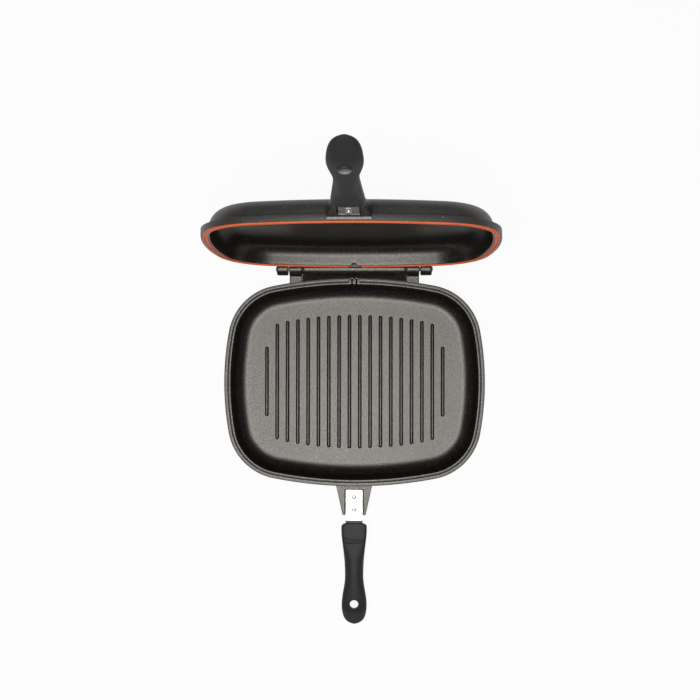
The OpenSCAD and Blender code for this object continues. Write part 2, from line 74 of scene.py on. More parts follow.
class PanSizes(bpy.types.PropertyGroup):
    """Sizes of the castings, in millimetres"""
    pan_width: length("Pan width", "Outer width of the rim", 320.0)
    pan_length: length("Pan length", "Outer length of the rim", 255.5)
    front_radius: length("Front radius", "Radius of the front and rear sides", 519.985)
    side_radius: length("Side radius", "Radius of the left and right sides", 347.51)
    corner_radius: length("Corner radius", "Radius of the corners", 69.7)
    base_depth: length("Base depth", "Height from the underside to the rim", 34.0)
    base_floor: length("Floor thickness", "Thickness of the cooking floor", 3.4)
    rim_width: length("Rim width", "Width of the rim land", 7.7)
    rim_height: length("Rim height", "Height of the rim flange", 6.7)
    wall_draft: degrees("Wall draft", "Slope of the walls from upright", 7.4)
    inner_fillet: length("Inner fillet", "Radius between wall and floor inside", 16.4)
    outer_fillet: length("Outer fillet", "Radius between wall and floor outside", 19.4)
    rib_pitch: length("Rib pitch", "Distance from rib to rib", 13.0)
    rib_foot: length("Rib foot", "Width of a rib at its foot", 4.2)
    rib_height: length("Rib height", "Height of a rib", 2.8)
    rib_margin: length("Rib margin", "Distance of the rib ends from the rim edge", 44.0)
    rib_trim: length("Outer rib trim", "How much shorter the outermost ribs are at each end", 13.3)
    lid_depth: length("Lid depth", "Outside height of the lid half", 27.1)
    lid_inside: length("Lid inside", "Inside height of the lid half", 24.0)
    lid_step: length("Lid step", "How far the lid wall stands in from the flange edge", 7.9)
    lid_inner_edge: length("Lid inner edge", "Where the inside of the lid begins", 9.4)
    seal_width: length("Seal width", "Width of the seal ring", 5.98)
    rim_gap: length("Rim gap", "Gap between the two rims when shut", 1.2)
    open_angle: degrees("Open angle", "Opening of the lid at its stop", 94.45)
    hinge_back: length("Hinge back", "Distance of the hinge axis behind the rim edge", 10.9)
    barrel_radius: length("Barrel radius", "Radius of the hinge barrels", 8.0)
    ear_inner: length("Ear inner end", "Inner end of a base ear, from the middle", 64.0)
    ear_outer: length("Ear outer end", "Outer end of a base ear, from the middle", 79.7)
    knuckle_inner: length("Knuckle inner end", "Inner end of a lid knuckle, from the middle", 81.0)
    knuckle_outer: length("Knuckle outer end", "Outer end of a lid knuckle, from the middle", 95.0)
    bar_half: length("Hinge bar half", "Half length of the lid's hinge bar", 62.0)
    ear_bore: length("Ear bore", "Radius of the pin bore in a base ear", 2.58)
    lid_bore: length("Lid bore", "Radius of the pin bores in the lid", 2.52)
    plug_bore: length("Plug bore", "Radius of the plug's seat in a knuckle", 3.42)


class GripSizes(bpy.types.PropertyGroup):
    """Sizes of the grips, plates and rivets, in millimetres"""
    grip_start: length("Grip start", "Where the grip begins, from the rim edge", 45.8)
    grip_end: length("Grip end", "Where the grip ends, from the rim edge", 174.4)
    root_width: length("Root width", "Width of the grip behind its shoulder", 31.3)
    waist_width: length("Waist width", "Width of the grip at its waist", 22.6)
    bulb_width: length("Bulb width", "Width of the grip at its bulb", 31.0)
    root_thick: length("Root thickness", "Thickness of the grip at its root", 18.0)
    bulb_thick: length("Bulb thickness", "Thickness of the grip at its bulb", 12.0)
    tip_thick: length("Tip thickness", "Thickness of the grip at its end", 6.5)
    hang_radius: length("Hanging hole", "Radius of the hanging hole", 5.2)
    thumb_ridge: length("Thumb ridge", "Height of the thumb ridges", 0.7)
    plate_drop: length("Plate drop", "Distance of the plate's face from the hinge plane", 6.0)
    plate_thick: length("Plate thickness", "Thickness of the handle plate", 2.5)
    plate_width: length("Plate width", "Width of the plate where it is seen", 20.4)
    tongue_width: length("Tongue width", "Width of the plate inside the grip", 15.0)
    neck_length: length("Neck length", "Length of the collar between plate and grip", 3.2)
    neck_width: length("Neck width", "Width of the collar", 20.6)
    rivet_radius: length("Rivet radius", "Radius of a rivet head", 2.75)
    rivet_height: length("Rivet height", "Height of a rivet head", 1.85)
    rivet_start: length("Rivet start", "First rivet, from the rim edge", 13.9)
    rivet_pitch: length("Rivet pitch", "Distance from rivet to rivet", 15.2)


class PanColours(bpy.types.PropertyGroup):
    """Colours of the finishes"""
    coat: colour("Coat", "Non-stick coat of the cooking sides", (0.0085, 0.008, 0.0074))
    coat_fleck: colour("Coat fleck", "Silver flecks in the coat", (0.30, 0.29, 0.27))
    enamel: colour("Outer finish", "Finish of the outsides", (0.042, 0.0397, 0.037))
    seal: colour("Seal", "Silicone seal", (0.88, 0.155, 0.03))
    seal_dust: colour("Seal dust", "Dusty specks on the seal", (0.85, 0.5, 0.35))
    grip: colour("Grip", "Moulded grips", (0.015, 0.015, 0.015))
    steel: colour("Steel", "Handle plates", (0.80, 0.80, 0.79))
    # painted shade: the lining's grey stands in for the shaded backdrop seen through the hanging holes
    hole_shade: colour("Hole shade", "Lining of the hanging holes", (0.25, 0.25, 0.245))


# ---- shader maths ----

class Wire:
    """A value or colour that travels between the nodes of one finish"""

    def __init__(self, finish, socket):
        self.finish, self.socket = finish, socket

    def math(self, operation, a, b):
        return self.finish.node("ShaderNodeMath", {"operation": operation}, {0: a, 1: b})

    def __add__(self, other): return self.math("ADD", self, other)
    def __radd__(self, other): return self.math("ADD", other, self)
    def __mul__(self, other): return self.math("MULTIPLY", self, other)
    def __rmul__(self, other): return self.math("MULTIPLY", other, self)


class Finish:
    """A material, or the world, that is built from nodes"""

    def __init__(self, name, world=False):
        self.owner = (bpy.data.worlds if world else bpy.data.materials).new(name)
        self.owner.use_nodes = True
        self.tree = self.owner.node_tree
        self.tree.nodes.clear()
        self.output = self.tree.nodes.new("ShaderNodeOutputWorld" if world else "ShaderNodeOutputMaterial")

    def node(self, kind, settings=None, sockets=None, out=0):
        """Adds a node: settings first, then the values or wires of its sockets"""
        made = self.tree.nodes.new(kind)
        for key, value in (settings or {}).items():
            setattr(made, key, value)
        for key, value in (sockets or {}).items():
            if isinstance(value, Wire):
                self.tree.links.new(value.socket, made.inputs[key])
            else:
                made.inputs[key].default_value = value
        return Wire(self, made.outputs[out])

    def place(self):
        return self.node("ShaderNodeTexCoord", out="Object")

    def ray(self, kind):
        """1 where the light path is of this kind, 0 elsewhere"""
        return self.node("ShaderNodeLightPath", out=kind)

    def stretch(self, where, scale):
        return self.node("ShaderNodeVectorMath", {"operation": "MULTIPLY"}, {0: where, 1: scale})

    def noise(self, where, scale, detail=3.0, rough=0.5):
        return self.node("ShaderNodeTexNoise", {}, {"Vector": where, "Scale": scale, "Detail": detail,
                                                    "Roughness": rough})

    def specks(self, where, scale):
        """Distance to the nearest of many scattered points"""
        return self.node("ShaderNodeTexVoronoi", {"feature": "F1"}, {"Vector": where, "Scale": scale})

    def steps(self, value, low, high):
        """0 where value is at low, 1 where it is at high"""
        return self.node("ShaderNodeMapRange", {"clamp": True}, {"Value": value, "From Min": low, "From Max": high})

    def flecks(self, where, scale, size, kept_scale, kept):
        """Round specks that fade between the two sizes. A noise leaves most of them out"""
        return self.steps(self.specks(where, scale), *size) * self.steps(self.noise(where, kept_scale, 0.0), *kept)

    def mix(self, share, one, other):
        """Colour one where share is 0, the other where it is 1"""
        return self.node("ShaderNodeMix", {"data_type": "RGBA"}, {0: share, 6: one, 7: other}, out=2)

    def shades(self, share, tint, darker, lighter):
        """A tint that goes from darker to lighter with share"""
        return self.mix(share, rgba(tint, darker), rgba(tint, lighter))

    def bump(self, height, strength, distance):
        return self.node("ShaderNodeBump", {}, {"Height": height, "Strength": strength, "Distance": distance})

    def blend(self, share, one, other):
        """Shader one where share is 0, the other where it is 1"""
        return self.node("ShaderNodeMixShader", {}, {0: share, 1: one, 2: other})

    def show(self, shader):
        self.tree.links.new(shader.socket, self.output.inputs["Surface"])
        return self.owner

    def surface(self, **sockets):
        named = {key.replace("_", " "): value for key, value in sockets.items()}
        return self.show(self.node("ShaderNodeBsdfPrincipled", {}, named))


def rgba(tint, share=1.0):
    return (tint[0] * share, tint[1] * share, tint[2] * share, 1.0)


FINISHES = {}


def finish(maker):
    """Each finish is made once"""
    if maker not in FINISHES:
        FINISHES[maker] = maker(bpy.context.scene.pan_colours)
    return FINISHES[maker]


def coat_finish(tints):
    """Dark non-stick coat with fine silver flecks and a slight orange peel"""
    f = Finish("nonstick_coat")
    where = f.place()
    grain = f.noise(where, 560.0, 3.0, 0.8)
    cloud = f.noise(where, 38.0, 3.0, 0.55)
    fine = f.flecks(where, 620.0, (0.30, 0.14), 1400.0, (0.56, 0.66))
    coarse = f.flecks(where, 330.0, (0.20, 0.10), 700.0, (0.62, 0.68))
    fleck = f.steps(fine + coarse, 0.0, 1.0)
    ground = f.shades(f.steps(cloud, 0.3, 0.7), tints.coat, 0.88, 1.12)
    return f.surface(
        Base_Color=f.mix(fleck, ground, rgba(tints.coat_fleck)),
        Metallic=f.steps(grain, 0.36, 0.64) * 0.42,
        Roughness=0.20 + grain * 0.24 + cloud * 0.04 + fleck * 0.4,
        Normal=f.bump(grain, 0.8, 0.00016),
        Specular_IOR_Level=1.0,
        Specular_Tint=(1.0, 0.935, 0.865, 1.0))


def enamel_finish(tints):
    """Darker outer finish of the castings, with a fine pebbled skin"""
    f = Finish("outer_finish")
    where = f.place()
    pebble = f.noise(where, 1100.0, 2.0, 0.5)
    cloud = f.noise(where, 30.0, 3.0, 0.6)
    fleck = f.flecks(where, 360.0, (0.20, 0.08), 800.0, (0.58, 0.64))
    ground = f.shades(f.steps(cloud, 0.3, 0.7), tints.enamel, 0.85, 1.15)
    return f.surface(
        Base_Color=f.mix(fleck, ground, rgba(tints.coat_fleck)),
        Roughness=0.38 + pebble * 0.10,
        Normal=f.bump(pebble, 0.4, 0.0001),
        Specular_IOR_Level=0.5,
        Specular_Tint=(1.0, 0.945, 0.88, 1.0))


def seal_finish(tints):
    """Orange silicone: soft, slightly dusty"""
    f = Finish("seal_silicone")
    where = f.place()
    cloud = f.noise(where, 60.0, 3.0, 0.6)
    dust = f.noise(where, 800.0, 2.0, 0.6)
    tint = f.shades(f.steps(cloud, 0.3, 0.7), tints.seal, 0.9, 1.08)
    return f.surface(
        Base_Color=f.mix(f.steps(dust, 0.62, 0.72) * 0.25, tint, rgba(tints.seal_dust)),
        Roughness=0.42 + dust * 0.15,
        Normal=f.bump(dust, 0.15, 0.00008))


def grip_finish(tints):
    """Black moulding with a fine spark-eroded texture"""
    f = Finish("grip_moulding")
    where = f.place()
    spark = f.noise(where, 1500.0, 2.0, 0.55)
    cloud = f.noise(where, 45.0, 3.0, 0.55)
    return f.surface(
        Base_Color=f.shades(f.steps(cloud, 0.3, 0.7), tints.grip, 0.9, 1.12),
        Roughness=0.52 + spark * 0.14,
        Normal=f.bump(spark, 0.35, 0.0001),
        Specular_IOR_Level=0.48)


def hole_shade_finish(tints):
    """Satin grey lining of the hanging hole. Its grey is painted shade: it stands in for the shaded backdrop seen
    through the hole
    """
    f = Finish("hole_lining_painted_shade")
    where = f.place()
    haze = f.noise(where, 260.0, 2.0, 0.5)
    return f.surface(
        Base_Color=f.shades(haze, tints.hole_shade, 0.95, 1.05),
        Roughness=0.45 + haze * 0.08,
        Normal=f.bump(haze, 0.08, 0.00005))


def neck_finish(tints):
    """Smooth black collar between plate and grip"""
    f = Finish("neck_moulding")
    where = f.place()
    haze = f.noise(where, 90.0, 3.0, 0.6)
    return f.surface(
        Base_Color=f.shades(haze, tints.grip, 0.7, 1.0),
        Roughness=0.34 + haze * 0.14,
        Normal=f.bump(f.noise(where, 700.0), 0.1, 0.00005),
        Specular_IOR_Level=0.4)


def plate_finish(tints):
    """Stainless plate, brushed along its length"""
    f = Finish("brushed_plate")
    where = f.place()
    hair = f.noise(f.stretch(where, (2600.0, 60.0, 60.0)), 1.0, 3.0, 0.6)
    cloud = f.noise(where, 55.0, 3.0, 0.6)
    return f.surface(
        Base_Color=f.shades(f.steps(hair, 0.25, 0.75), tints.steel, 0.90, 1.08),
        Metallic=1.0,
        Roughness=0.20 + hair * 0.14 + cloud * 0.08,
        Normal=f.bump(hair, 0.12, 0.00004))


def rivet_finish(tints):
    """Satin rivet heads with faint peening"""
    f = Finish("rivet_head")
    where = f.place()
    peen = f.noise(where, 420.0, 2.0, 0.5)
    return f.surface(
        Base_Color=f.shades(f.steps(peen, 0.3, 0.7), tints.steel, 0.74, 0.92),
        Metallic=1.0,
        Roughness=0.30 + peen * 0.12,
        Normal=f.bump(peen, 0.2, 0.0001))


def pin_finish(tints):
    """Drawn steel of the pins, magnets and screws"""
    f = Finish("drawn_steel")
    where = f.place()
    draw = f.noise(f.stretch(where, (60.0, 1500.0, 1500.0)), 1.0, 2.0, 0.5)
    return f.surface(
        Base_Color=f.shades(draw, tints.steel, 0.22, 0.34),
        Metallic=1.0,
        Roughness=0.36 + draw * 0.15,
        Normal=f.bump(draw, 0.1, 0.00004))


def spacer_finish(tints):
    """Black nylon of the spacers and end plugs"""
    f = Finish("black_nylon")
    where = f.place()
    haze = f.noise(where, 300.0, 2.0, 0.6)
    return f.surface(
        Base_Color=f.shades(haze, tints.grip, 0.5, 0.9),
        Roughness=0.5 + haze * 0.2,
        Normal=f.bump(haze, 0.15, 0.0001))


# ---- outline of the pan ----

class Outline:
    """The rim line: eight arcs that run into each other, with a point and its direction outwards at each step"""

    def __init__(self, s):
        half_w, half_l = s.pan_width / 2, s.pan_length / 2
        self.half_l, self.front_radius = half_l, s.front_radius
        self.front_cy, self.side_cx = half_l - s.front_radius, half_w - s.side_radius
        reach_f, reach_s = s.front_radius - s.corner_radius, s.side_radius - s.corner_radius
        span = math.hypot(self.side_cx, self.front_cy)
        along = (reach_f ** 2 - reach_s ** 2 + span ** 2) / (2 * span)
        across = math.sqrt(reach_f ** 2 - along ** 2)
        dx, dy = self.side_cx / span, -self.front_cy / span
        self.corner = (dx * along + dy * across, self.front_cy + dy * along - dx * across)
        self.corner_radius = s.corner_radius
        self.front_angle = math.atan2(self.corner[1] - self.front_cy, self.corner[0])
        self.side_angle = math.atan2(self.corner[1], self.corner[0] - self.side_cx)
        self.side_radius = s.side_radius

    def rim_y(self, x):
        return self.front_cy + math.sqrt(self.front_radius ** 2 - x * x)

    def inset_y(self, x, m):
        if x <= (self.front_radius - m) * math.cos(self.front_angle):
            return self.front_cy + math.sqrt((self.front_radius - m) ** 2 - x * x)
        return self.corner[1] + math.sqrt(max(0.0, (self.corner_radius - m) ** 2 - (x - self.corner[0]) ** 2))

    def steps(self, middle=(), corner_steps=26, side_steps=16, front_steps=18):
        """Steps (centre x, centre y, radius, angle), anticlockwise from the rear middle. middle lists extra places
        in the rear side"""
        fa, sa = self.front_angle, self.side_angle
        cx, cy = self.corner
        out = []

        def arc(x, y, r, a, b, n):
            out.extend((x, y, r, a + (b - a) * i / n) for i in range(n))

        rear = [0.0] + sorted(middle)
        edge, far = rear[-1], self.front_radius * math.cos(fa)
        fill = [edge + (far - edge) * (i + 1) / 10 for i in range(9)]
        angles = [math.acos(x / self.front_radius) for x in rear + fill]
        out.extend((0, self.front_cy, self.front_radius, math.pi - a) for a in angles)
        arc(-cx, cy, self.corner_radius, math.pi - fa, math.pi - sa, corner_steps)
        arc(-self.side_cx, 0, self.side_radius, math.pi - sa, math.pi + sa, side_steps)
        arc(-cx, -cy, self.corner_radius, math.pi + sa, math.pi + fa, corner_steps)
        arc(0, -self.front_cy, self.front_radius, math.pi + fa, 2 * math.pi - fa, front_steps)
        arc(cx, -cy, self.corner_radius, 2 * math.pi - fa, 2 * math.pi - sa, corner_steps)
        arc(self.side_cx, 0, self.side_radius, -sa, sa, side_steps)
        arc(cx, cy, self.corner_radius, sa, fa, corner_steps)
        back = list(reversed(angles[1:]))
        out.append((0, self.front_cy, self.front_radius, fa))
        out.extend((0, self.front_cy, self.front_radius, a) for a in back)
        return out


def at(step, inset):
    x, y, r, a = step
    return (x + (r - inset) * math.cos(a), y + (r - inset) * math.sin(a))


def wall_arc(s, start, top, floor, radius, n):
    """Points (inset, height) down a wall and round its fillet to the floor"""
    d = math.radians(s.wall_draft)
    c = start + (top - floor - radius) * math.tan(d) + radius / math.cos(d)
    turn = math.pi / 2 - d
    return [(c - radius * math.cos(d + turn * i / n), floor + radius - radius * math.sin(d + turn * i / n))
            for i in range(n + 1)]


def soften(points, radii, n=4):
    """Rounds the corners of an open path: one radius for each point"""
    out = [points[0]]
    for i in range(1, len(points) - 1):
        p, r = Vector(points[i]), radii[i]
        a, b = Vector(points[i - 1]) - p, Vector(points[i + 1]) - p
        if r <= 0 or min(a.length, b.length) < 1e-6:
            out += [points[i]] * (n + 1 if r > 0 else 1)
            continue
        half = max(0.01, a.angle(b) / 2)
        cut = min(r / math.tan(half), a.length * 0.49, b.length * 0.49)
        start, end = p + a.normalized() * cut, p + b.normalized() * cut
        for k in range(n + 1):
            t = k / n
            out.append(tuple(start * (1 - t) ** 2 + p * 2 * t * (1 - t) + end * t * t))
    out.append(points[-1])
    return out


# ---- making meshes ----

def base_place(p):
    return Vector(p) * MM


def lid_place(s):
    """Turns a closed lid point, height from the hinge plane, to its open place"""
    axis_y = s.pan_length / 2 + s.hinge_back
    axis_z = s.base_depth + s.rim_gap / 2
    turn = Matrix.Rotation(-math.radians(s.open_angle), 3, "X")
    return lambda p: (turn @ Vector((p[0], p[1] - axis_y, p[2])) + Vector((0, axis_y, axis_z))) * MM


def over(place):
    """The lid's handle parts are the base's, turned over"""
    return lambda p: place((-p[0], p[1], -p[2]))


def from_axis(s):
    axis_z = s.base_depth + s.rim_gap / 2
    return lambda p: Vector((p[0], p[1], p[2] + axis_z)) * MM


def new_object(name, mesh):
    made = bpy.data.objects.new(name, mesh)
    bpy.context.scene.collection.objects.link(made)
    return made


def shaded(mesh, angle=38.0):
    mesh.shade_smooth()
    mesh.set_sharp_from_angle(angle=math.radians(angle))


def make(name, points, faces, finishes, marks=None, place=base_place, angle=38.0):
    """A mesh object from points in millimetres and faces; marks gives each face its finish"""
    mesh = bpy.data.meshes.new(name)
    mesh.from_pydata([place(p) for p in points], [], faces)
    for f in finishes:
        mesh.materials.append(f)
    if marks:
        mesh.polygons.foreach_set("material_index", marks)
    tidy = bmesh.new()
    tidy.from_mesh(mesh)
    bmesh.ops.recalc_face_normals(tidy, faces=tidy.faces)
    tidy.to_mesh(mesh)
    tidy.free()
    shaded(mesh, angle)
    return new_object(name, mesh)


def weigh(piece):
    """Keeps flat faces flat next to their rounded edges"""
    piece.modifiers.new("flats", "WEIGHTED_NORMAL").keep_sharp = True


def settle(piece):
    """Applies the modifiers"""
    graph = bpy.context.evaluated_depsgraph_get()
    mesh = bpy.data.meshes.new_from_object(piece.evaluated_get(graph))
    old, piece.data = piece.data, mesh
    piece.modifiers.clear()
    name = old.name
    bpy.data.meshes.remove(old)
    mesh.name = name


def drop(piece):
    mesh = piece.data
    bpy.data.objects.remove(piece)
    bpy.data.meshes.remove(mesh)


def cut(piece, tool, operation="DIFFERENCE"):
    change = piece.modifiers.new("cut", "BOOLEAN")
    change.operation, change.object, change.solver = operation, tool, "EXACT"
    settle(piece)
    drop(tool)


def prism(corners, low, high, turned=None):
    """Points and faces of an upright prism; turned maps (x, y, height) to where it goes"""
    n = len(corners)
    points = [(x, y, low) for x, y in corners] + [(x, y, high) for x, y in corners]
    if turned:
        points = [turned(*p) for p in points]
    faces = [tuple(reversed(range(n))), tuple(range(n, 2 * n))]
    faces += [(i, (i + 1) % n, n + (i + 1) % n, n + i) for i in range(n)]
    return points, faces


def turned_form(profile, n, turned=None):
    """Points and faces of a revolve: profile is (radius, height) from axis to axis"""
    points, rings = [], []
    for r, h in profile:
        if r < 1e-6:
            rings.append([len(points)])
            points.append((0, 0, h))
        else:
            rings.append(list(range(len(points), len(points) + n)))
            points += [(r * math.cos(2 * math.pi * k / n), r * math.sin(2 * math.pi * k / n), h) for k in range(n)]
    faces = []
    for a, b in zip(rings, rings[1:]):
        for k in range(n):
            i, j = k, (k + 1) % n
            if len(a) == 1:
                faces.append((a[0], b[j], b[i]))
            elif len(b) == 1:
                faces.append((a[i], a[j], b[0]))
            else:
                faces.append((a[i], a[j], b[j], b[i]))
    if turned:
        points = [turned(*p) for p in points]
    return points, faces


def join_forms(forms):
    points, faces = [], []
    for p, f in forms:
        n = len(points)
        points += p
        faces += [tuple(i + n for i in face) for face in f]
    return points, faces


def casting(name, forms, finishes, place, grid=0.5, rounds=4):
    """Overlapping forms melted into one casting on a fine grid, then filed a few rounds, so that its edges are as
    soft as cast ones"""
    points, faces = join_forms(forms)
    piece = make(name, points, faces, finishes, None, place)
    melt = piece.modifiers.new("melt", "REMESH")
    melt.mode, melt.voxel_size, melt.use_smooth_shade = "VOXEL", grid * MM, True
    file = piece.modifiers.new("file", "SMOOTH")
    file.factor, file.iterations = 0.5, rounds
    settle(piece)
    return piece


REAR_MIDDLE = 12.0      # half the width of the part of the rear rim whose section may differ


def sweep(steps, section, closed=True):
    """Sweeps a section round the rim line. section(x) gives its (inset, height) points for the rear middle, where
    x is a place near it, and for everything else with x None"""
    points, rings = [], []
    for step in steps:
        x = step[0] + step[2] * math.cos(step[3])
        y = step[1] + step[2] * math.sin(step[3])
        line = section(x if y > 0 and abs(x) < REAR_MIDDLE else None)
        rings.append(list(range(len(points), len(points) + len(line))))
        points += [(*at(step, inset), h) for inset, h in line]
    faces, bands = [], []
    pairs = list(zip(rings, rings[1:])) + ([(rings[-1], rings[0])] if closed else [])
    for a, b in pairs:
        for k in range(len(a) - 1):
            faces.append((a[k], a[k + 1], b[k + 1], b[k]))
            bands.append(k)
    return points, faces, bands, rings


def ride_on(piece, body, slot, *nodes):
    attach(piece, body)
    if nodes:
        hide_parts(*nodes)
    return piece


# ---- base half ----

FLAT_INSET = 38.0       # inset at which a shell's flat middle takes over from the sweep
SOFT = 0.15             # how far a barrel's faces stand back for the melt
BORE_SIDES, BARREL_SIDES = 32, 64


def along_hinge(s, side=1):
    """Turns (x, y, height) about the hinge axis, height being the distance from the middle on that side"""
    axis_y = s.pan_length / 2 + s.hinge_back
    return lambda x, y, h: (side * h, axis_y + x, y)


def drill(s, piece, side, place, profile):
    """Cuts a bore on the hinge axis: profile is (radius, distance from the middle)"""
    points, faces = turned_form(profile, BORE_SIDES, along_hinge(s, side))
    cut(piece, make("bore", points, faces, [finish(coat_finish)], None, place))


def shell(name, sweep_parts, turn_over, finishes, place):
    """A swept shell, closed over its middle inside and outside. The finishes change at the band turn_over"""
    points, faces, bands, rings = sweep_parts
    marks = [0 if band < turn_over else 1 for band in bands] + [0, 1]
    faces += [tuple(r[0] for r in rings), tuple(r[-1] for r in rings)]
    return make(name, points, faces, finishes, marks, place)


def rib_form(s, x, half, floor):
    """A raised rib with a rounded crest, a soft foot and round ends"""
    p, h = s.rib_foot / 2, s.rib_height
    section = [(p + 0.5, -0.3), (p + 0.25, 0.04), (p, 0.3), (p * 0.80, h * 0.55), (p * 0.64, h * 0.80),
               (p * 0.45, h * 0.94), (p * 0.2, h)]
    points, faces, n = [], [], 10
    for r, z in section:
        for end in (1, -1):
            for k in range(n + 1):
                a = math.pi * k / n
                points.append((x + end * r * math.cos(a), end * (half + r * math.sin(a)), floor + z))
    loop = 2 * (n + 1)
    for i in range(len(section) - 1):
        for k in range(loop):
            a, b = i * loop + k, i * loop + (k + 1) % loop
            faces.append((a, b, b + loop, a + loop))
    faces.append(tuple(range((len(section) - 1) * loop, len(section) * loop)))
    return points, faces


def bracket_forms(line, root_in):
    """The cast bracket, heights from the hinge plane, minus away from it: floor, two cheeks and the root block.
    root_in is how far it reaches in under the rim"""
    y0 = -line.half_l
    root, tip, far, block_far = 22.0, 14.2, 35.8, 4.6       # half widths at the rim and the end, and lengths
    face, back, low, slot = -4.5, -8.5, -16.0, 11.4         # heights, and half the width of the recess

    def wide(d):
        return root + (tip - root) * d / far

    floor = prism([(-root, y0 + root_in), (-root, y0), (-tip, y0 - far), (tip, y0 - far), (root, y0),
                   (root, y0 + root_in)], low, back)
    cheek = [(slot, y0 + root_in), (root, y0 + root_in), (root, y0), (wide(far), y0 - far), (slot, y0 - far)]
    cheeks = [prism([(side * x, y) for x, y in cheek], low, face) for side in (-1, 1)]
    block = prism([(-root, y0 + root_in), (-wide(block_far), y0 - block_far), (wide(block_far), y0 - block_far),
                   (root, y0 + root_in)], low, face)
    return [floor, block] + cheeks


class FLIPPAN_OT_base(bpy.types.Operator):
    """Build the base half: rim, walls, floor, ribs, hinge ears and bracket"""
    bl_idname = "flippan.base"
    bl_label = "Base half"

    def execute(self, context):
        s, line = context.scene.pan_sizes, Outline(context.scene.pan_sizes)
        coat = finish(coat_finish)
        self.pan(s, line, [coat, finish(enamel_finish)])

        ribs = []
        pairs = 9
        for i in range(pairs):
            x = (i + 0.5) * s.rib_pitch
            half = line.inset_y(x, s.rib_margin) - s.rib_foot / 2 - (s.rib_trim if i == pairs - 1 else 0.0)
            ribs += [rib_form(s, x, half, s.base_floor), rib_form(s, -x, half, s.base_floor)]
        points, faces = join_forms(ribs)
        ride_on(make("base_pan_ribs", points, faces, [coat], None), "base", "coated_cast", "base_pan")

        for side, name in ((-1, "left"), (1, "right")):
            self.ear(s, line, coat, side, name)
        bracket = casting("base_bracket", bracket_forms(line, root_in=7.2), [coat], from_axis(s), rounds=3)
        ride_on(bracket, "base", "coated_cast", "base_pan")
        return {"FINISHED"}

    @staticmethod
    def pan(s, line, finishes):
        """Rim with its drip groove and two steam slots, walls and floor"""
        top, edge, floor, wall_in = s.base_depth, s.base_depth - s.rim_height, s.base_floor, s.rim_width - 3
        outside = list(reversed(wall_arc(s, wall_in, top, 0.0, s.outer_fillet, 12)))
        inside = wall_arc(s, s.rim_width, top, floor, s.inner_fillet, 14)
        groove_deep, groove_stop = 1.9, 6.4                 # the groove stops short of the rear middle
        slot_at, slot_half = 2.75, 1.0                      # the steam slots are cut to a point
        slot_edge, slot_point = 2.2, 2.9

        def section(x):
            deep = top if x is not None and abs(x) <= groove_stop else top - groove_deep
            off = abs(abs(x) - slot_at) if x is not None else slot_half
            notch = slot_edge + slot_point * (1 - off / slot_half) if off < slot_half - 0.005 else 0.0
            land, deep = top - notch, min(deep, top - notch)
            flange = soften([outside[-1], (wall_in, edge), (0, edge), (0, land), (4, land), (4.65, deep),
                             (4.95, deep), (5.6, land), (s.rim_width, land), inside[0]],
                            [0, 1.2, 0.5, 0.75, 0.25, 0.1, 0.1, 0.25, 0.5, 0], 3)
            path = [(FLAT_INSET, 0)] + outside[:-1] + flange + inside[1:] + [(FLAT_INSET, floor)]
            return list(reversed(path))

        middle = [slot_at + slot_half * k for k in (-1.015, -0.985, -0.5, 0.0, 0.5, 0.985, 1.015)]
        middle += [groove_stop - 0.01, groove_stop + 0.01, 9.0]
        turn_over = len(inside) + 24
        pan = shell("base_pan_shell", sweep(line.steps(middle), section), turn_over, finishes, base_place)
        ride_on(pan, "base", "coated_cast", "base_pan")

    @staticmethod
    def ear(s, line, coat, side, name):
        """A hinge ear: barrel, arm to the rim, heel that the stop rests on, gusset and its foot on the wall"""
        a, b, r, lift = s.ear_inner, s.ear_outer, s.barrel_radius, from_axis(s)
        axis_y, across = line.half_l + s.hinge_back, along_hinge(s, side)
        barrel = turned_form([(0, a + SOFT), (r - SOFT, a + SOFT), (r - SOFT, b - SOFT), (0, b - SOFT)], BARREL_SIDES,
                             across)
        arm = prism([(side * x, y) for x, y in [(a + 0.2, line.rim_y(a) - 1.5), (b - 0.2, line.rim_y(b) - 1.5),
                                                (b - 0.2, axis_y), (a + 0.2, axis_y)]], 1 - r, -0.75)
        heel = prism([(-9.4, -2), (-9.4, -0.8), (-8.9, -0.6), (-8.4, -0.2), (-8.0, 0.4), (-7.8, 1.2), (-5, 1.0),
                      (-5, -2)], a + 0.3, b - 0.3, across)
        rel = -s.hinge_back
        wall = [(rel - 17.9, -28), (rel - 13.9, -20), (rel - 13.2, -17.6)]
        gusset = prism(wall + [(rel - 12.6, -14), (rel - 12.4, 0.5 - r), (0, 0.5 - r), (-2, -r - 2.2)],
                       a + 0.2, b - 0.2, across)
        foot = prism(wall + [(-4.2, -17.8), (-9, -22)], a - 3.4, a + 0.6, across)
        ear = casting("base_ear_" + name, [barrel, arm, heel, gusset, foot], [coat], lift, rounds=4)
        drill(s, ear, side, lift, [(0, a - 2), (s.ear_bore, a - 2), (s.ear_bore, b + 2), (0, b + 2)])
        shaded(ear.data, 40)
        ride_on(ear, "base", "coated_cast", "base_pan")


# ---- lid half ----

